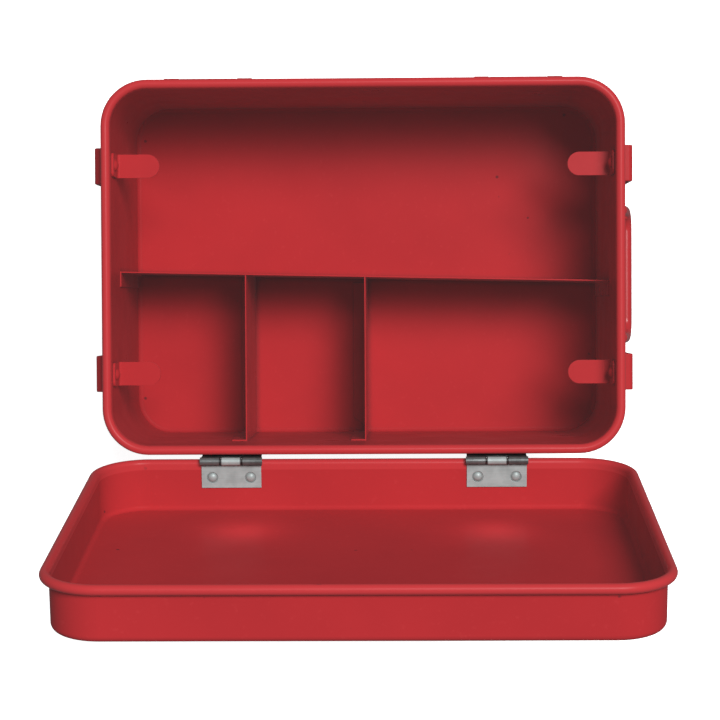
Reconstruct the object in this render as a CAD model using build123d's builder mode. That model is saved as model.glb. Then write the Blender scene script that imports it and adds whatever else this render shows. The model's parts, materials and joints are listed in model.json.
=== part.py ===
from build123d import *
import os
from math import atan2, cos, degrees, radians, sin, tan

# Sheet-steel carpenter's toolbox: a deep tray lying on its back panel, and a lid on two butt hinges.
# Frame: origin in the middle of the back panel's resting face, +Z out of the opening,
# +X towards the side that carries the handle, hinges on the -Y side.  Millimetres.

# ---- Driving dimensions -------------------------------------------------------------------------
SHEET = 0.8                 # thickness of the body, lid and divider sheet
BEAD_R = 3.1                # outside radius of the rolled edge
FLOOR_BEND_R = 3.0          # inside radius between a wall and its panel
ROLL_SWEEP = 310            # how far round the edge is rolled, in degrees

BODY_WIDTH = 350.0          # over the rolled edge, along X
BODY_HEIGHT = 251.0         # over the rolled edge, along Y
BODY_DEPTH = 151.0          # from the back panel's resting face to the top of the rolled edge
RIM_CORNER_R = 31.0         # outside of the rolled edge, in plan

LID_OVERHANG = 5.2          # how far the lid's rolled edge stands outside the body's
LID_OVERLAP = 2.3           # how far the closed lid's edge reaches below the body's rim
LID_DEPTH = 35.0
LID_CLOSED_TO_OPEN = 101.0  # opening angle in degrees

HINGE_X = 89.0              # centre of each hinge, either side of the middle
HINGE_Y = -130.0
LEAF_WIDTH = 40.0
LEAF_SHEET = 1.2
LID_LEAF_HEIGHT = 18.7
BARREL_LENGTH = 42.0
PIN_R = 1.5
RUNNING_FIT = 0.05          # radial play of a pin in its bore
KNUCKLE_GAP = 0.5
HINGE_RIVET_PITCH = 25.5
HINGE_RIVET_HEIGHT = 11.6   # rivets above the barrel's axis, on the lid
HINGE_HEAD = (3.1, 1.2)     # radius and height of a hinge rivet's head
HINGE_DIMPLE_R = 3.8        # the head sits in a shallow dimple in the leaf
HINGE_DIMPLE_DEPTH = 0.5
HINGE_TAIL = (2.6, 0.8)
KNUCKLE_CLEARANCE = 0.8     # a leaf's edge to the other leaf's knuckle
BODY_LEAF_STEP = (9.0, 19.0)    # start and end of the step in past the bead, below the barrel's axis
BODY_LEAF_LENGTH = 38.0
BODY_LEAF_SPLAY = 0.6
PIN_CHAMFER = 0.3

DIVIDER_TOP = 101.0         # front edges of the dividers above the resting face
LONG_DIVIDER_Y = -5.9       # middle of the long divider
LONG_DIVIDER_TILT = -1.3    # it sits slightly out of square, in degrees
SHORT_DIVIDER_X = (-82.0, 0.5)
DIVIDER_FLANGE = 10.0
DIVIDER_END_GAP = 0.1       # short dividers to the long one
FLANGE_MITRE = 7.0
FLANGE_START = 3.0          # the back flange stops this far short of the divider's end
FLANGE_BEND_GAP = 1.0       # and this far short of the back panel's bend

UPPER_CORNER_Y = 69.5       # tongues and strap loops
LOWER_CORNER_Y = -71.8
TONGUE_WIDTH = 16.0
TONGUE_REACH = 30.0
TONGUE_SHEET = 1.5
TONGUE_DEPTH = 30.0         # its top face below the rim
TONGUE_LEG = 20.0
TONGUE_BEND_R = 2.2
CORNER_RIVET_DEPTH = 18.0
CORNER_RIVET_R = 4.25
CORNER_HEAD_HEIGHT = 2.4
CORNER_SHANK_R = 2.1
CORNER_TAIL = (3.6, 1.2)
STRIP_CORNER_R = 3.0        # rounded ends of the tongues' legs and the loops' feet

LOOP_WIDTH = 24.6
LOOP_STAND_OFF = 13.0
LOOP_SHEET = 2.0
LOOP_LENGTH = 48.0          # the raised part, along Z
LOOP_TOP_DEPTH = 26.0       # its upper end below the rim
LOOP_FOOT = 15.5
LOOP_BEND_R = 2.0
LOOP_EDGE_R = 0.8

HANDLE_CENTRE_Y = -5.5
HANDLE_SPAN = 95.0          # over the arms
HANDLE_R = 4.0
HANDLE_LEAN = 11.5          # the hanging bail rests on its stops this far out from the wall, in degrees
HANDLE_DROP = 32.0          # pivots down to the middle of the grip
HANDLE_BEND_R = 13.0
HANDLE_PIVOT_DEPTH = 40.0
HANDLE_STAND_OFF = 6.7      # pivot axis off the wall
HANDLE_PIN_R = 1.6
HANDLE_HEAD = (3.0, 1.4)
HANDLE_TAIL = (2.6, 1.0)
HANDLE_HEAD_GAP = 0.3
HANDLE_END_R = 2.5
EAR_GAP = 0.4               # a bracket's ear to the bail's arm
BRACKET_SHEET = 1.5
BRACKET_SIZE = 18.0         # length and height of its plate
BRACKET_BEND_R = 1.8
BRACKET_CORNER_R = 4.0
EAR_BOSS_R = 4.0
STOP_TOP = 6.0              # the stop's tab, below the pivot
STOP_BOTTOM = 13.0
STOP_GAP = 0.3              # the stop's lip to the resting arm

CATCH_X = 106.0             # centre of each catch, either side of the middle
CATCH_WIDTH = 39.0
CATCH_PIVOT_DEPTH = 40.0
CATCH_STAND_OFF = 6.9       # pivot axis off the wall
CATCH_EAR_WIDTH = 10.0
CATCH_EAR_R = 3.0
CATCH_BEAD_GAP = 0.4        # closed catch to the lid's rolled edge
CATCH_BASE_REACH = 11.0     # base plate above and below the pin
CATCH_STEP = (4.0, 9.0)     # start and end of the joggle that clears the lid's edge
CATCH_LIP = 4.4

HOLE_REACH = 5.0            # rivet holes are cut this far to both sides of the rivet's seat

# ---- Derived places -----------------------------------------------------------------------------
WALL_X = BODY_WIDTH / 2 - 2 * BEAD_R          # inner faces of the body's walls
WALL_Y = BODY_HEIGHT / 2 - 2 * BEAD_R
WALL_CORNER_R = RIM_CORNER_R - 2 * BEAD_R
OUTER_X = WALL_X + SHEET
OUTER_Y = WALL_Y + SHEET

KNUCKLE_R = PIN_R + RUNNING_FIT + LEAF_SHEET
LEAF_MID = KNUCKLE_R - LEAF_SHEET / 2         # middle of a leaf from the barrel's axis
HINGE_Z = BODY_DEPTH - LID_OVERLAP
LID_FAR = BODY_HEIGHT / 2 + LID_OVERHANG - 2 * BEAD_R - HINGE_Y
LID_WALL_X = BODY_WIDTH / 2 + LID_OVERHANG - 2 * BEAD_R
LID_CORNER_R = RIM_CORNER_R + LID_OVERHANG - 2 * BEAD_R

HINGE_FRAME = Plane((0, HINGE_Y, HINGE_Z))
LID_FRAME = HINGE_FRAME.rotated((LID_CLOSED_TO_OPEN, 0, 0))

os.makedirs("parts", exist_ok=True)


def save(builder, name):
    """Label a finished piece and write it as its own STEP file."""
    builder.part.label = name
    export_step(builder.part, f"parts/{name}.step")


def cross_section(frame, x):
    """The plane across X at x in a frame: its first axis is the frame's Y and its second the frame's Z."""
    return Plane(frame.from_local_coords((x, 0, 0)), x_dir=frame.y_dir, z_dir=frame.x_dir)


# ---- Trays with a rolled edge -------------------------------------------------------------------
def bore(plane, radius, depth):
    """Cut a round hole through the part being built, at plane's origin and to both sides of it."""
    with BuildSketch(plane) as hole:
        Circle(radius)
    extrude(hole.sketch, amount=depth, both=True, mode=Mode.SUBTRACT)


def rolled_tray(floor_plane, half_width, half_height, corner_r, depth, hole_planes, hole_r):
    """A drawn tray standing on floor_plane, sized by its inner faces, with its rim rolled outwards."""
    bead_z = depth - BEAD_R
    bead_x = half_width + BEAD_R
    bead_y = half_height + BEAD_R
    bead_corner_r = corner_r + BEAD_R
    up = Axis(floor_plane.origin, floor_plane.z_dir)
    with BuildPart() as tray:
        with BuildSketch(floor_plane):
            RectangleRounded(2 * (half_width + SHEET), 2 * (half_height + SHEET), corner_r + SHEET)
        extrude(amount=bead_z)
        fillet(tray.faces().sort_by(up)[0].edges(), FLOOR_BEND_R + SHEET)
        offset(amount=-SHEET, openings=tray.faces().sort_by(up)[-1])
        with BuildLine(Plane(floor_plane.from_local_coords((0, 0, bead_z)), floor_plane.x_dir,
                             floor_plane.z_dir)) as rim:
            straight_x = bead_x - bead_corner_r
            straight_y = bead_y - bead_corner_r
            Line((bead_x, 0), (bead_x, straight_y))
            CenterArc((straight_x, straight_y), bead_corner_r, 0, 90)
            Line((straight_x, bead_y), (-straight_x, bead_y))
            CenterArc((-straight_x, straight_y), bead_corner_r, 90, 90)
            Line((-bead_x, straight_y), (-bead_x, -straight_y))
            CenterArc((-straight_x, -straight_y), bead_corner_r, 180, 90)
            Line((-straight_x, -bead_y), (straight_x, -bead_y))
            CenterArc((straight_x, -straight_y), bead_corner_r, 270, 90)
            Line((bead_x, -straight_y), (bead_x, 0))
        with BuildSketch(floor_plane.rotated((90, 0, 0))):
            with BuildLine():
                outer = CenterArc((bead_x, bead_z), BEAD_R, 180, -ROLL_SWEEP)
                inner = CenterArc((bead_x, bead_z), BEAD_R - SHEET, 180, -ROLL_SWEEP)
                Line(outer @ 0, inner @ 0)
                Line(outer @ 1, inner @ 1)
            make_face()
        sweep(path=rim.wires()[0])
        for hole_plane in hole_planes:
            bore(hole_plane, hole_r, HOLE_REACH)
    return tray


def corner_seat(side, y):
    """Where a corner rivet's head sits, on the tongue: its axis points into the box."""
    height = BODY_DEPTH - CORNER_RIVET_DEPTH
    return Plane((side * (WALL_X - TONGUE_SHEET), y, height), x_dir=(0, side, 0), z_dir=(-side, 0, 0))


def hinge_rivet_seats(hinge_x):
    """Where the two rivet heads of a lid leaf sit: their axes point into the lid."""
    pitches = (-HINGE_RIVET_PITCH / 2, HINGE_RIVET_PITCH / 2)
    seat_y = LEAF_SHEET - HINGE_DIMPLE_DEPTH - KNUCKLE_R
    return [Plane(LID_FRAME * Location((hinge_x + pitch, seat_y, HINGE_RIVET_HEIGHT), (-90, 0, 0)))
            for pitch in pitches]


body_holes = [corner_seat(side, y) for side in (1, -1) for y in (UPPER_CORNER_Y, LOWER_CORNER_Y)]
body_shell = rolled_tray(Plane.XY, WALL_X, WALL_Y, WALL_CORNER_R, BODY_DEPTH, body_holes, CORNER_SHANK_R)
save(body_shell, "body_shell")

lid_mid = (LID_FAR - KNUCKLE_R) / 2
lid_floor = Plane(LID_FRAME * Location((0, lid_mid, LID_DEPTH), (180, 0, 0)))
lid_holes = hinge_rivet_seats(-HINGE_X) + hinge_rivet_seats(HINGE_X)
lid_shell = rolled_tray(lid_floor, LID_WALL_X, (LID_FAR + KNUCKLE_R) / 2, LID_CORNER_R, LID_DEPTH,
                        lid_holes, PIN_R)
save(lid_shell, "lid_shell")


# ---- Hinges -------------------------------------------------------------------------------------
def knuckle_spans():
    """Start and end of the barrel's three knuckles, from the hinge's middle."""
    third = BARREL_LENGTH / 3
    starts = [-BARREL_LENGTH / 2 + third * number for number in range(3)]
    return [(start + KNUCKLE_GAP / 2, start + third - KNUCKLE_GAP / 2) for start in starts]


def turned(frame, x, span, radius, mode=Mode.ADD):
    """Add or cut a cylinder around the frame's X axis, over a span of X counted from x."""
    with BuildSketch(cross_section(frame, x + span[0])) as disc:
        Circle(radius)
    extrude(disc.sketch, amount=span[1] - span[0], mode=mode)


def strip(frame, x, span, points):
    """Add a strip of leaf sheet that follows points across X, over a span of X counted from x."""
    with BuildSketch(cross_section(frame, x + span[0])) as edge:
        with BuildLine():
            Polyline(*points)
        trace(line_width=LEAF_SHEET)
    extrude(edge.sketch, amount=span[1] - span[0])


def hinge_body_leaf(x):
    """The leaf on the body: straight below the barrel, then stepped in past the bead to the wall."""
    wall_mid = -OUTER_Y - LEAF_SHEET / 2 - HINGE_Y
    whole = (-LEAF_WIDTH / 2, LEAF_WIDTH / 2)
    first, middle, last = knuckle_spans()
    step_start, step_end = BODY_LEAF_STEP
    with BuildPart() as leaf:
        strip(HINGE_FRAME, x, whole, ((LEAF_MID, 0), (LEAF_MID + BODY_LEAF_SPLAY, -step_start),
                                      (wall_mid, -step_end), (wall_mid, -BODY_LEAF_LENGTH)))
        turned(HINGE_FRAME, x, (middle[0] - KNUCKLE_GAP, middle[1] + KNUCKLE_GAP),
               KNUCKLE_R + KNUCKLE_CLEARANCE, Mode.SUBTRACT)
        for span in (first, last):
            turned(HINGE_FRAME, x, span, KNUCKLE_R)
            turned(HINGE_FRAME, x, span, PIN_R + RUNNING_FIT, Mode.SUBTRACT)
    return leaf


def hinge_lid_leaf(x):
    """The leaf on the inside of the lid's wall, with the barrel's middle knuckle and two dimpled holes."""
    middle = knuckle_spans()[1]
    shoulder = KNUCKLE_R + KNUCKLE_CLEARANCE
    whole = (-LEAF_WIDTH / 2, LEAF_WIDTH / 2)
    with BuildPart() as leaf:
        strip(LID_FRAME, x, whole, ((-LEAF_MID, shoulder), (-LEAF_MID, LID_LEAF_HEIGHT)))
        strip(LID_FRAME, x, middle, ((-LEAF_MID, 0), (-LEAF_MID, shoulder + 0.1)))
        turned(LID_FRAME, x, middle, KNUCKLE_R)
        turned(LID_FRAME, x, middle, PIN_R + RUNNING_FIT, Mode.SUBTRACT)
        for seat in hinge_rivet_seats(x):
            bore(seat, PIN_R, HOLE_REACH)
            with BuildSketch(seat) as dimple:
                Circle(HINGE_DIMPLE_R)
            extrude(dimple.sketch, amount=HINGE_DIMPLE_DEPTH, mode=Mode.SUBTRACT)
    return leaf


def hinge_pin(x):
    """The pin through the barrel, slightly shorter than it."""
    length = BARREL_LENGTH - 2 * KNUCKLE_GAP
    with BuildPart() as pin:
        turned(HINGE_FRAME, x, (-length / 2, length / 2), PIN_R)
        chamfer(pin.faces().filter_by(Plane.YZ).edges(), PIN_CHAMFER)
    return pin


def rivet(base, head, shank_r, grip, tail):
    """Add a domed rivet: its head sits on the base plane, and its tail is upset at -grip.

    head and tail are each a radius and a height."""
    head_r, head_height = head
    tail_r, tail_height = tail
    dome_r = (head_r ** 2 + head_height ** 2) / (2 * head_height)
    with BuildSketch(Plane(base.origin, x_dir=base.x_dir, z_dir=base.y_dir)) as profile:
        with BuildLine():
            Polyline((0, -head_height), (0, grip + tail_height), (tail_r * 0.8, grip + tail_height),
                     (tail_r, grip), (shank_r, grip), (shank_r, 0), (head_r, 0))
            RadiusArc((head_r, 0), (0, -head_height), dome_r)
        make_face()
    revolve(profile.sketch, axis=Axis(base.origin, base.z_dir))


for side_name, hinge_x in (("left", -HINGE_X), ("right", HINGE_X)):
    save(hinge_body_leaf(hinge_x), f"hinge_body_leaf_{side_name}")
    save(hinge_lid_leaf(hinge_x), f"hinge_lid_leaf_{side_name}")
    save(hinge_pin(hinge_x), f"hinge_pin_{side_name}")
    with BuildPart() as hinge_rivets:
        for seat in hinge_rivet_seats(hinge_x):
            rivet(seat, HINGE_HEAD, PIN_R, LEAF_SHEET - HINGE_DIMPLE_DEPTH + SHEET, HINGE_TAIL)
    save(hinge_rivets, f"hinge_rivets_{side_name}")


# ---- Dividers -----------------------------------------------------------------------------------
def divider_y(x):
    """Middle of the long divider's sheet at x."""
    return LONG_DIVIDER_Y + x * tan(radians(LONG_DIVIDER_TILT))


def relieve_floor_bend():
    """Cut the divider being built clear of the bend between the walls and the back panel."""
    with BuildSketch(Plane.XY.offset(SHEET)) as bend:
        RectangleRounded(2 * WALL_X, 2 * WALL_Y, WALL_CORNER_R)
        RectangleRounded(2 * (WALL_X - FLOOR_BEND_R), 2 * (WALL_Y - FLOOR_BEND_R),
                         WALL_CORNER_R - FLOOR_BEND_R, mode=Mode.SUBTRACT)
    extrude(bend.sketch, amount=FLOOR_BEND_R, mode=Mode.SUBTRACT)


divider_height = DIVIDER_TOP - SHEET
end_x = WALL_X - SHEET / 2
with BuildPart() as long_divider:
    with BuildSketch(Plane.XY.offset(SHEET)):
        with BuildLine():
            Polyline((-end_x, divider_y(-end_x) - DIVIDER_FLANGE), (-end_x, divider_y(-end_x)),
                     (end_x, divider_y(end_x)), (end_x, divider_y(end_x) - DIVIDER_FLANGE))
        trace(line_width=SHEET)
    extrude(amount=divider_height)
    relieve_floor_bend()
save(long_divider, "long_divider")


def short_divider(x):
    """A divider from the long one to the hinge wall, flanged on the back panel and on the wall."""
    start_y = divider_y(x) - SHEET / 2 - DIVIDER_END_GAP
    wall_y = -WALL_Y + SHEET / 2
    flange_edge = x - DIVIDER_FLANGE
    flange_y = start_y - FLANGE_START
    floor_end = -WALL_Y + FLOOR_BEND_R + FLANGE_BEND_GAP
    with BuildPart() as divider:
        with BuildSketch(Plane.XY.offset(SHEET)):
            with BuildLine():
                Polyline((x, start_y), (x, wall_y), (flange_edge, wall_y))
            trace(line_width=SHEET)
        extrude(amount=divider_height)
        relieve_floor_bend()
        with BuildSketch(Plane.XY.offset(SHEET)):
            with BuildLine():
                Polyline((x, flange_y), (flange_edge, flange_y), (flange_edge, floor_end + FLANGE_MITRE),
                         (x, floor_end), close=True)
            make_face()
        extrude(amount=SHEET)
    return divider


for place_name, divider_x in zip(("left", "centre"), SHORT_DIVIDER_X):
    save(short_divider(divider_x), f"short_divider_{place_name}")


# ---- Tongues, strap loops and the rivets they share ---------------------------------------------
def tongue(side, y):
    """An L-shaped clip on the inside of a side wall, its tongue reaching into the box."""
    top = BODY_DEPTH - TONGUE_DEPTH
    leg_mid = WALL_X - TONGUE_SHEET / 2
    reach = WALL_X - TONGUE_REACH + TONGUE_WIDTH / 2
    with BuildPart() as clip:
        with BuildSketch(Plane.XZ.offset(-y)):
            with BuildLine():
                FilletPolyline((side * leg_mid, top + TONGUE_LEG), (side * leg_mid, top - TONGUE_SHEET / 2),
                               (side * reach, top - TONGUE_SHEET / 2), radius=TONGUE_BEND_R)
            trace(line_width=TONGUE_SHEET)
        extrude(amount=TONGUE_WIDTH / 2, both=True)
        with BuildSketch(Plane.XY.offset(top - TONGUE_SHEET)):
            with Locations((side * reach, y)):
                Circle(TONGUE_WIDTH / 2)
        extrude(amount=TONGUE_SHEET)
        leg_top = clip.faces().sort_by(Axis.Z)[-1]
        fillet(leg_top.edges().filter_by(Axis.X), STRIP_CORNER_R)
        bore(corner_seat(side, y), CORNER_SHANK_R, HOLE_REACH)
    return clip


def strap_loop(side, y):
    """A bridge of strip standing off a side wall, for a strap to pass behind."""
    top = BODY_DEPTH - LOOP_TOP_DEPTH
    foot_mid = OUTER_X + LOOP_SHEET / 2
    bridge_mid = OUTER_X + LOOP_STAND_OFF - LOOP_SHEET / 2
    with BuildPart() as loop:
        with BuildSketch(Plane.XZ.offset(-y)):
            with BuildLine():
                FilletPolyline((side * foot_mid, top + LOOP_FOOT), (side * foot_mid, top - LOOP_SHEET / 2),
                               (side * bridge_mid, top - LOOP_SHEET / 2),
                               (side * bridge_mid, top - LOOP_LENGTH + LOOP_SHEET / 2),
                               (side * foot_mid, top - LOOP_LENGTH + LOOP_SHEET / 2),
                               (side * foot_mid, top - LOOP_LENGTH - LOOP_FOOT), radius=LOOP_BEND_R)
            trace(line_width=LOOP_SHEET)
        extrude(amount=LOOP_WIDTH / 2, both=True)
        ends = loop.faces().sort_by(Axis.Z)
        fillet(ends[0].edges().filter_by(Axis.X) + ends[-1].edges().filter_by(Axis.X), STRIP_CORNER_R)
        outer = loop.faces().filter_by(Axis.X).sort_by(Axis.X)[-1 if side > 0 else 0]
        fillet(outer.edges().filter_by(Axis.Z), LOOP_EDGE_R)
        bore(corner_seat(side, y), CORNER_SHANK_R, HOLE_REACH)
    return loop


corners = {"upper_left": (-1, UPPER_CORNER_Y), "lower_left": (-1, LOWER_CORNER_Y),
           "upper_right": (1, UPPER_CORNER_Y), "lower_right": (1, LOWER_CORNER_Y)}
for corner_name, (side, y) in corners.items():
    save(tongue(side, y), f"tongue_{corner_name}")
    save(strap_loop(side, y), f"strap_loop_{corner_name}")

with BuildPart() as corner_rivets:
    for side, y in corners.values():
        rivet(corner_seat(side, y), (CORNER_RIVET_R, CORNER_HEAD_HEIGHT), CORNER_SHANK_R,
              TONGUE_SHEET + SHEET + LOOP_SHEET, CORNER_TAIL)
save(corner_rivets, "corner_rivets")


# ---- Drop handle --------------------------------------------------------------------------------
handle_x = OUTER_X + HANDLE_STAND_OFF
handle_z = BODY_DEPTH - HANDLE_PIVOT_DEPTH
arm_y = HANDLE_SPAN / 2 - HANDLE_R
lean = radians(HANDLE_LEAN)
pivot_plane = Plane((handle_x, HANDLE_CENTRE_Y, handle_z), x_dir=(1, 0, 0), z_dir=(0, 1, 0))
bail_plane = Plane(pivot_plane.origin, x_dir=(0, 1, 0), z_dir=(cos(lean), 0, sin(lean)))
with BuildPart() as handle_bail:
    with BuildLine(bail_plane) as bow:
        FilletPolyline((arm_y, HANDLE_R), (arm_y, -HANDLE_DROP), (-arm_y, -HANDLE_DROP), (-arm_y, HANDLE_R),
                       radius=HANDLE_BEND_R)
    with BuildSketch(Plane(bail_plane.from_local_coords((arm_y, HANDLE_R, 0)), x_dir=(0, 1, 0),
                           z_dir=-bail_plane.y_dir)):
        Circle(HANDLE_R)
    sweep(path=bow.wires()[0])
    fillet(handle_bail.faces().sort_by(Axis.Z)[-2:].edges(), HANDLE_END_R)
    with BuildSketch(pivot_plane):
        Circle(HANDLE_PIN_R + RUNNING_FIT)
    extrude(amount=HANDLE_SPAN, both=True, mode=Mode.SUBTRACT)
save(handle_bail, "handle_bail")


def handle_bracket(end):
    """A plate on the wall with an ear inside the bail's arm, bored for the pin, and a stop under the arm."""
    ear_y = HANDLE_CENTRE_Y + end * (arm_y - HANDLE_R - EAR_GAP - BRACKET_SHEET / 2)
    plate_mid = OUTER_X + BRACKET_SHEET / 2
    lip_z = handle_z - STOP_BOTTOM + BRACKET_SHEET / 2
    lip_top = STOP_BOTTOM - BRACKET_SHEET
    arm_inner_x = handle_x + lip_top * tan(lean) - HANDLE_R / cos(lean)
    lip_x = arm_inner_x - STOP_GAP
    ear_plane = Plane((handle_x, ear_y, handle_z), x_dir=(1, 0, 0), z_dir=(0, -1, 0))
    with BuildPart() as bracket:
        with BuildSketch(Plane.XY.offset(handle_z - BRACKET_SIZE / 2)):
            with BuildLine():
                FilletPolyline((plate_mid, ear_y - end * BRACKET_SIZE), (plate_mid, ear_y),
                               (handle_x, ear_y), radius=BRACKET_BEND_R)
            trace(line_width=BRACKET_SHEET)
        extrude(amount=BRACKET_SIZE)
        ear_edges = bracket.faces().sort_by(Axis.X)[-1].edges().filter_by(Axis.Y)
        fillet(ear_edges, BRACKET_CORNER_R)
        with BuildSketch(ear_plane):
            Circle(EAR_BOSS_R)
        extrude(amount=BRACKET_SHEET / 2, both=True)
        bore(ear_plane, HANDLE_PIN_R, BRACKET_SHEET)
        with BuildSketch(Plane.XZ.offset(-ear_y)) as stop:
            with BuildLine():
                FilletPolyline((plate_mid, handle_z - STOP_TOP), (plate_mid, lip_z), (lip_x, lip_z),
                               radius=BRACKET_BEND_R)
            trace(line_width=BRACKET_SHEET)
        extrude(stop.sketch, amount=-end * (2 * HANDLE_R + EAR_GAP + BRACKET_SHEET / 2))
    return bracket


def handle_pin(end):
    """The headed pin through one arm of the bail, upset behind the bracket's ear."""
    seat_y = HANDLE_CENTRE_Y + end * (arm_y + HANDLE_R + HANDLE_HEAD_GAP)
    seat = Plane((handle_x, seat_y, handle_z), x_dir=(1, 0, 0), z_dir=(0, end, 0))
    grip = HANDLE_HEAD_GAP + 2 * HANDLE_R + EAR_GAP + BRACKET_SHEET
    with BuildPart() as pin:
        rivet(seat, HANDLE_HEAD, HANDLE_PIN_R, grip, HANDLE_TAIL)
    return pin


for end_name, end in (("upper", 1), ("lower", -1)):
    save(handle_bracket(end), f"handle_bracket_{end_name}")
    save(handle_pin(end), f"handle_pin_{end_name}")


# ---- Catches on the wall opposite the hinges ----------------------------------------------------
catch_y = OUTER_Y + CATCH_STAND_OFF
catch_z = BODY_DEPTH - CATCH_PIVOT_DEPTH
CATCH_FRAME = Plane((0, catch_y, catch_z))
catch_ears = ((-CATCH_WIDTH / 2 - CATCH_EAR_WIDTH - KNUCKLE_GAP, -CATCH_WIDTH / 2 - KNUCKLE_GAP),
              (CATCH_WIDTH / 2 + KNUCKLE_GAP, CATCH_WIDTH / 2 + CATCH_EAR_WIDTH + KNUCKLE_GAP))


def catch_base(x):
    """A plate on the wall with an ear at each end that holds the catch's pin."""
    plate_mid = LEAF_SHEET / 2 - CATCH_STAND_OFF
    with BuildPart() as base:
        strip(CATCH_FRAME, x, (catch_ears[0][0], catch_ears[1][1]),
              ((plate_mid, -CATCH_BASE_REACH), (plate_mid, CATCH_BASE_REACH)))
        for span in catch_ears:
            strip(CATCH_FRAME, x, span, ((plate_mid, LEAF_MID), (0, LEAF_MID)))
            turned(CATCH_FRAME, x, span, CATCH_EAR_R)
            turned(CATCH_FRAME, x, span, PIN_R, Mode.SUBTRACT)
    return base


def catch_pin(x):
    """The pin across a catch, held in the base's ears."""
    with BuildPart() as pin:
        turned(CATCH_FRAME, x, (catch_ears[0][0], catch_ears[1][1]), PIN_R)
    return pin


def catch_plate(x, frame):
    """The swinging plate: a knuckle, a flat that clears the lid's edge, and a lip that hooks over it."""
    lid_edge = BODY_HEIGHT / 2 + LID_OVERHANG
    flat_mid = lid_edge + CATCH_BEAD_GAP + LEAF_SHEET / 2 - catch_y
    lip_mid = CATCH_PIVOT_DEPTH - LID_OVERLAP + 2 * BEAD_R + CATCH_BEAD_GAP + LEAF_SHEET / 2
    span = (-CATCH_WIDTH / 2, CATCH_WIDTH / 2)
    step_start, step_end = CATCH_STEP
    with BuildPart() as plate:
        strip(frame, x, span, ((LEAF_MID, 0), (LEAF_MID, step_start), (flat_mid, step_end),
                               (flat_mid, lip_mid), (flat_mid - CATCH_LIP, lip_mid)))
        turned(frame, x, span, KNUCKLE_R)
        turned(frame, x, span, PIN_R + RUNNING_FIT, Mode.SUBTRACT)
    return plate


def hanging_angle():
    """Turn about X that hangs a closed catch plate with its weight straight below its pin."""
    balance = catch_plate(0, CATCH_FRAME).part.center(CenterOf.MASS) - CATCH_FRAME.origin
    return degrees(atan2(balance.Y, balance.Z)) - 180


catch_turn = hanging_angle()
for side_name, catch_x in (("left", -CATCH_X), ("right", CATCH_X)):
    save(catch_base(catch_x), f"catch_base_{side_name}")
    save(catch_pin(catch_x), f"catch_pin_{side_name}")
    save(catch_plate(catch_x, CATCH_FRAME.rotated((catch_turn, 0, 0))), f"catch_plate_{side_name}")
print("catch hangs at", round(catch_turn, 2), "degrees from closed")
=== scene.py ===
import json
import math

import bpy
from mathutils import Matrix, Vector

# Looks, light and camera for the carpenter toolbox.  Everything is in metres, in the CAD frame:
# the box lies on its back panel at z = 0 with its opening up, and the open lid stands on the -Y side.

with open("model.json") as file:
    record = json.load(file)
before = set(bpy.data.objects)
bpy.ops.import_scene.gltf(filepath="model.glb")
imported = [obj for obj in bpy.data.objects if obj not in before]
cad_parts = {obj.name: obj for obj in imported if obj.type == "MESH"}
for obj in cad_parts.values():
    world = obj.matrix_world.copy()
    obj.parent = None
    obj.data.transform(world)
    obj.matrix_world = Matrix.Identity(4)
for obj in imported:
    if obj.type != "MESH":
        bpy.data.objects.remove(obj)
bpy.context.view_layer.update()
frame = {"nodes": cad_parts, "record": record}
nodes = frame["nodes"]
scene = bpy.context.scene

# ---- Places on the box --------------------------------------------------------------------------
RIM_HEIGHT = 0.151              # top of the body's rolled edge
RIM_BAND = 0.0062               # height of a rolled edge
LID_LEAN = math.radians(11.0)   # of the open lid, outwards from upright
LID_MOUTH = Vector((0.0, math.cos(LID_LEAN), math.sin(LID_LEAN)))
HINGE_AXIS = Vector((0.0, -0.130, 0.1487))
BARREL_GAPS = [(x, HINGE_AXIS.y, HINGE_AXIS.z) for x in (-0.096, -0.082, 0.082, 0.096)]
BODY_RIM = ((0.0, 0.0, 1.0), RIM_HEIGHT)                    # direction out of the mouth, height along it
LID_RIM = (tuple(LID_MOUTH), LID_MOUTH.dot(HINGE_AXIS))
BODY_MARKS = ((-0.1626, 0.0960, 0.0008), (-0.1640, -0.0938, 0.0008), (0.1460, 0.1133, 0.0008),
              (0.0966, 0.0681, 0.0008))                     # dark spots on the back panel
MARK_R = 0.0014

# ---- Colours ------------------------------------------------------------------------------------
RED = (0.480, 0.0195, 0.0235)
RED_DARK = (0.420, 0.0165, 0.0205)
RED_LIGHT = (0.60, 0.052, 0.056)
# the next colour is a painted highlight on the rolled edges
RED_RIM_PAINTED_HIGHLIGHT = (0.575, 0.037, 0.042)
# primer red, for nicks in the paint and also for painted shade in the inner corners
PRIMER_AND_SHADE = (0.045, 0.012, 0.014)
# the next two colours are painted shade in the hinge steel's hollows and in its knuckle gaps
HOLLOW_SHADE_DARK = (0.03, 0.03, 0.03)
GAP_SHADE_DARK = (0.02, 0.02, 0.02)
PAINT_GLOW = (0.95, 0.95, 1.0)        # a faint glow painted into the red paint as painted light, which keeps the deepest shadows from going black
PAINT_GLOW_STRENGTH = 0.0145
RIM_FADE = 0.0006               # width of the rim's change of colour
# how far the rolled edge's colour is lifted as a painted highlight
RIM_HIGHLIGHT_LIFT = 0.55
RIM_SHINE = 0.10


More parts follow.
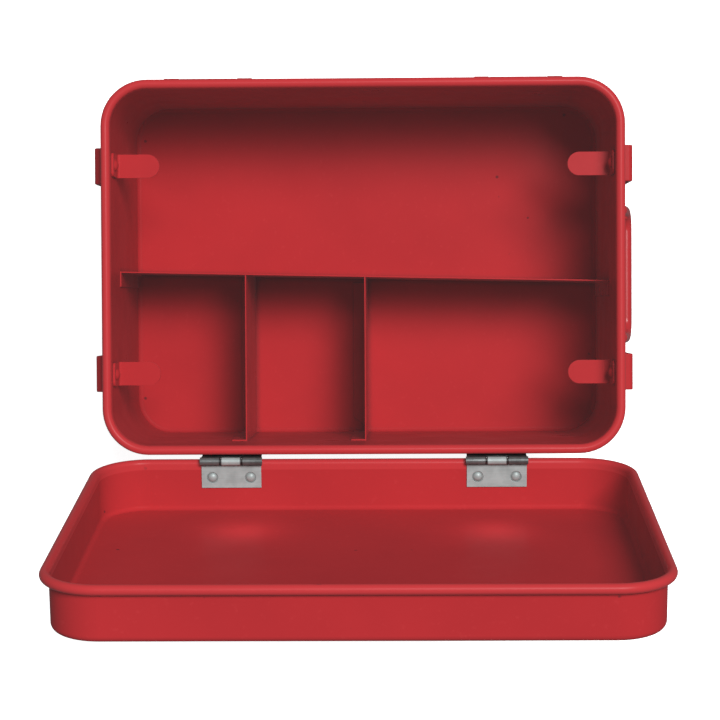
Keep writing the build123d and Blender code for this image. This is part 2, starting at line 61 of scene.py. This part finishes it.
# ---- Node helpers -------------------------------------------------------------------------------
class Shader:
    """A material whose nodes are added one at a time."""

    def __init__(self, name):
        self.material = bpy.data.materials.new(name)
        self.material.use_nodes = True
        self.tree = self.material.node_tree
        self.surface = self.tree.nodes["Principled BSDF"]
        self.place = self.tree.nodes.new("ShaderNodeTexCoord").outputs["Object"]

    def add(self, kind, links=None, **settings):
        """Add a node; links are {input: socket or value} and settings its own properties."""
        node = self.tree.nodes.new(kind)
        for key, value in settings.items():
            setattr(node, key, value)
        for key, value in (links or {}).items():
            if isinstance(value, bpy.types.NodeSocket):
                self.tree.links.new(value, node.inputs[key])
            else:
                node.inputs[key].default_value = value
        return node

    def noise(self, scale, detail=3.0, roughness=0.55, stretch=None):
        """Noise from 0 to 1 with scale features to the metre, stretched along the axes if asked."""
        place = self.place
        if stretch:
            place = self.add("ShaderNodeMapping", {"Vector": place, "Scale": stretch}).outputs[0]
        links = {"Vector": place, "Scale": scale, "Detail": detail, "Roughness": roughness}
        return self.add("ShaderNodeTexNoise", links).outputs["Fac"]

    def spread(self, value, low, high, to_low=0.0, to_high=1.0):
        """Map value from low..high to to_low..to_high, held at the ends."""
        links = {"Value": value, "From Min": low, "From Max": high, "To Min": to_low, "To Max": to_high}
        return self.add("ShaderNodeMapRange", links).outputs["Result"]

    def math(self, operation, first, second):
        """Sum, difference or product of two values."""
        return self.add("ShaderNodeMath", {0: first, 1: second}, operation=operation).outputs[0]

    def mix(self, factor, first, second):
        """Mix two colours."""
        links = {"Factor": factor, 6: first, 7: second}
        return self.add("ShaderNodeMix", links, data_type="RGBA").outputs[2]

    def edges(self, radius, low=0.02, high=0.25):
        """1 along sharp edges and 0 on the flats."""
        soft = self.add("ShaderNodeBevel", {"Radius": radius}, samples=6).outputs["Normal"]
        flat = self.add("ShaderNodeNewGeometry").outputs["Normal"]
        same = self.add("ShaderNodeVectorMath", {0: soft, 1: flat}, operation="DOT_PRODUCT").outputs["Value"]
        return self.spread(self.math("SUBTRACT", 1.0, same), low, high)

    def bump(self, height, distance, strength=1.0, normal=None):
        """A normal roughened by height, distance in metres."""
        links = {"Height": height, "Distance": distance, "Strength": strength}
        if normal is not None:
            links["Normal"] = normal
        return self.add("ShaderNodeBump", links).outputs["Normal"]

    def away(self, point):
        """Distance from a point of the frame."""
        node = self.add("ShaderNodeVectorMath", {0: self.place, 1: point}, operation="DISTANCE")
        return node.outputs["Value"]

    def link(self, name, socket):
        """Drive one of the surface's inputs."""
        self.tree.links.new(socket, self.surface.inputs[name])


def powder_coat(name, gloss=0.28, wave=0.0001, shine=0.04, rim=None, marks=(), crease_shade=0.0):
    """Semi-gloss powder coat: slight mottle, orange peel, panel waviness and rubbed edges.

    rim is the direction out of a tray's mouth and the height of its rolled edge along it, whose colour gets
    a painted highlight;
    marks are the middles of small dark spots, and the last argument is how dark the painted shade in the
    inner corners gets."""
    made = Shader(name)
    mottle = made.spread(made.noise(9.0, 4.0), 0.3, 0.7)
    speck = made.spread(made.noise(260.0, 2.0), 0.62, 0.78)
    colour = made.mix(mottle, (*RED_DARK, 1), (*RED, 1))
    colour = made.mix(made.math("MULTIPLY", speck, 0.16), colour, (*RED_LIGHT, 1))
    edge = made.math("MULTIPLY", made.edges(0.0006), made.spread(made.noise(90.0, 3.0), 0.35, 0.75))
    colour = made.mix(made.math("MULTIPLY", edge, 0.40), colour, (*RED_LIGHT, 1))
    # short dull scuffs, and a few dark nicks down to the primer
    scuff = made.spread(made.noise(38.0, 6.0, 0.7, (1.0, 5.0, 1.0)), 0.66, 0.74)
    colour = made.mix(made.math("MULTIPLY", scuff, 0.10), colour, (*RED_LIGHT, 1))
    nick = made.spread(made.noise(120.0, 1.0, 0.4), 0.80, 0.83)
    colour = made.mix(made.math("MULTIPLY", nick, 0.75), colour, (*PRIMER_AND_SHADE, 1))
    for mark in marks:
        colour = made.mix(made.spread(made.away(mark), MARK_R * 0.5, MARK_R, 0.7, 0.0), colour, (*PRIMER_AND_SHADE, 1))
    if crease_shade:
        # painted shade: the inner corners are darkened towards primer red by occlusion
        open_air = made.add("ShaderNodeAmbientOcclusion", {"Distance": 0.005}, samples=6).outputs["AO"]
        colour = made.mix(made.spread(open_air, 0.60, 0.85, crease_shade, 0.0), colour, (*PRIMER_AND_SHADE, 1))
    if rim:
        # painted highlight: the rolled edge's colour is lifted brighter than the panels, and its specular
        # level raised
        out, top = rim
        height = made.add("ShaderNodeVectorMath", {0: made.place, 1: out}, operation="DOT_PRODUCT")
        on_rim = made.spread(height.outputs["Value"], top - RIM_BAND - RIM_FADE, top - RIM_BAND)
        colour = made.mix(made.math("MULTIPLY", on_rim, RIM_HIGHLIGHT_LIFT), colour, (*RED_RIM_PAINTED_HIGHLIGHT, 1))
        made.link("Specular IOR Level", made.spread(on_rim, 0.0, 1.0, shine, RIM_SHINE))
    made.link("Base Color", colour)
    rough = made.spread(made.noise(22.0, 4.0), 0.3, 0.7, gloss - 0.05, gloss + 0.06)
    made.link("Roughness", made.math("ADD", rough, made.math("MULTIPLY", scuff, 0.14)))
    made.surface.inputs["Specular IOR Level"].default_value = shine
    # painted light: the paint glows faintly, which lifts its shadows
    made.surface.inputs["Emission Color"].default_value = (*PAINT_GLOW, 1)
    made.surface.inputs["Emission Strength"].default_value = PAINT_GLOW_STRENGTH
    rounded = made.add("ShaderNodeBevel", {"Radius": 0.0004}, samples=6).outputs["Normal"]
    waves = made.bump(made.noise(11.0, 2.0), wave, 1.0, rounded)
    peel = made.bump(made.noise(600.0, 2.0), 0.000012, 0.5, waves)
    made.link("Normal", peel)
    return made.material


def plated_steel(name, base, dark, metallic=0.25, rough=0.42):
    """Dull plated steel: grain along X, tarnish in patches, painted shade in corners, dimples and at the
    barrel's gaps, bright rubbed edges."""
    made = Shader(name)
    made.surface.inputs["Metallic"].default_value = metallic
    streak = made.noise(300.0, 4.0, 0.7, (0.15, 6.0, 6.0))
    patch = made.spread(made.noise(110.0, 4.0), 0.38, 0.66)
    tone = made.math("ADD", made.math("MULTIPLY", patch, 0.6), made.spread(streak, 0.35, 0.65, 0.0, 0.4))
    colour = made.mix(tone, (*base, 1), (*dark, 1))
    # painted shade: darker where the steel is closed in, in corners, dimples and gaps
    open_air = made.add("ShaderNodeAmbientOcclusion", {"Distance": 0.003}, samples=8).outputs["AO"]
    hollow_shade = made.spread(open_air, 0.45, 0.97, 0.88, 0.0)
    colour = made.mix(hollow_shade, colour, (*HOLLOW_SHADE_DARK, 1))
    bright = tuple(min(1.0, value * 1.6) for value in base)
    colour = made.mix(made.math("MULTIPLY", made.edges(0.0004), 0.5), colour, (*bright, 1))
    # painted shade in the gaps between the barrel's knuckles
    for gap in BARREL_GAPS:
        shadow = made.spread(made.away(gap), 0.00281, 0.00298, 0.9, 0.0)
        colour = made.mix(shadow, colour, (*GAP_SHADE_DARK, 1))
    made.link("Base Color", colour)
    made.link("Roughness", made.spread(streak, 0.3, 0.7, rough - 0.10, rough + 0.14))
    rounded = made.add("ShaderNodeBevel", {"Radius": 0.0002}, samples=6).outputs["Normal"]
    made.link("Normal", made.bump(streak, 0.00005, 0.8, rounded))
    return made.material


# ---- Materials on the CAD nodes -----------------------------------------------------------------
# each by its material slot, except that the body leaves' steel is darker than the lid leaves'
looks = {
    "body_paint": powder_coat("body_powder_coat", 0.32, 0.00022, 0.02, BODY_RIM, BODY_MARKS, 0.5),
    "lid_paint": powder_coat("lid_powder_coat", 0.34, 0.00040, 0.01, LID_RIM),
    "divider_paint": powder_coat("divider_powder_coat", 0.30, 0.00022),
    "fitting_paint": powder_coat("fitting_powder_coat", 0.30),
    "handle_paint": powder_coat("handle_powder_coat", 0.28, shine=0.3),
    "hinge_steel": plated_steel("hinge_plated_steel", (0.425, 0.50, 0.495), (0.28, 0.335, 0.33), 0.12),
    "pin_steel": plated_steel("pin_drawn_steel", (0.26, 0.265, 0.27), (0.18, 0.185, 0.19), 0.6, 0.32),
}
# a darker copy of the hinge steel for the body leaves
body_leaf_look = plated_steel("hinge_darker_steel", (0.16, 0.18, 0.18), (0.06, 0.068, 0.067), 0.3, 0.36)
for part in frame["record"]["subparts"]:
    piece = nodes[part["node"]]
    on_body = part["node"].startswith("hinge_body_leaf")
    piece.data.materials.clear()
    piece.data.materials.append(body_leaf_look if on_body else looks[part["material_slot"]])


# ---- Floor and light ----------------------------------------------------------------------------
FLOOR_SIZE = 16.0
FLOOR_DROP = 0.0002             # keeps the floor off the back panel's face
WORLD_STRENGTH = 0.17
KEY_PLACE = (1.36, 1.51, 5.65)
KEY_TARGET = (0, -0.03, 0.1)
KEY_SIZE = 2.0
KEY_POWER = 350
BOUNCE_PATCHES = {"left": (-0.0781, -0.1727, 0.1893), "right": (0.0862, -0.1727, 0.1893)}
BOUNCE_DISTANCE = 0.026
BOUNCE_SIZE = 0.018
BOUNCE_POWER = 0.0038

bpy.ops.mesh.primitive_plane_add(size=FLOOR_SIZE, location=(0, 0, -FLOOR_DROP))
floor = bpy.context.object
floor.name = "studio_floor"
paper = Shader("floor_paper")
paper.surface.inputs["Base Color"].default_value = (0.9, 0.9, 0.9, 1)
paper.surface.inputs["Roughness"].default_value = 0.95
paper.surface.inputs["Emission Color"].default_value = (1, 1, 1, 1)
paper.surface.inputs["Emission Strength"].default_value = 0.85
floor.data.materials.append(paper.material)
floor.visible_diffuse = False
floor.visible_glossy = False

world = bpy.data.worlds.new("studio")
world.use_nodes = True
world.node_tree.nodes["Background"].inputs["Color"].default_value = (1, 1, 1, 1)
world.node_tree.nodes["Background"].inputs["Strength"].default_value = WORLD_STRENGTH
scene.world = world


def soft_light(name, place, target, size, power, seen=True):
    """A square softbox that faces a point; an unseen one shows in no reflection either."""
    light = bpy.data.lights.new(name, "AREA")
    light.shape = "SQUARE"
    light.size = size
    light.energy = power
    lamp = bpy.data.objects.new(name, light)
    lamp.location = place
    lamp.rotation_euler = (Vector(target) - Vector(place)).to_track_quat("-Z", "Y").to_euler()
    lamp.visible_camera = seen
    lamp.visible_glossy = seen
    scene.collection.objects.link(lamp)


soft_light("key_softbox", KEY_PLACE, KEY_TARGET, KEY_SIZE, KEY_POWER)
# the bright hinge leaves throw a patch of light up onto the lid's panel
for side, centre in BOUNCE_PATCHES.items():
    patch = Vector(centre)
    lamp_place = patch + BOUNCE_DISTANCE * LID_MOUTH
    soft_light("bounce_" + side, lamp_place, patch, BOUNCE_SIZE, BOUNCE_POWER, seen=False)


# ---- Camera, fitted to the photograph -----------------------------------------------------------
LENS = 104.83                   # for a 36 mm sensor
CAMERA_PLACE = (0.02434, -0.02703, RIM_HEIGHT + 1.39796)
CAMERA_TILT_X = math.radians(1.449)
CAMERA_TILT_Y = math.radians(-1.086)
CAMERA_ROLL = math.radians(0.298)
FAR_CLIP = 100.0
lens = bpy.data.cameras.new("camera")
lens.lens = LENS
lens.clip_end = FAR_CLIP
camera = bpy.data.objects.new("camera", lens)
camera.location = CAMERA_PLACE
to_camera = (Matrix.Rotation(CAMERA_ROLL, 3, "Z") @ Matrix.Rotation(CAMERA_TILT_X, 3, "X")
             @ Matrix.Rotation(CAMERA_TILT_Y, 3, "Y"))
camera.rotation_euler = to_camera.transposed().to_euler()
scene.collection.objects.link(camera)
scene.camera = camera

scene.view_settings.view_transform = "Standard"
scene.view_settings.look = "None"
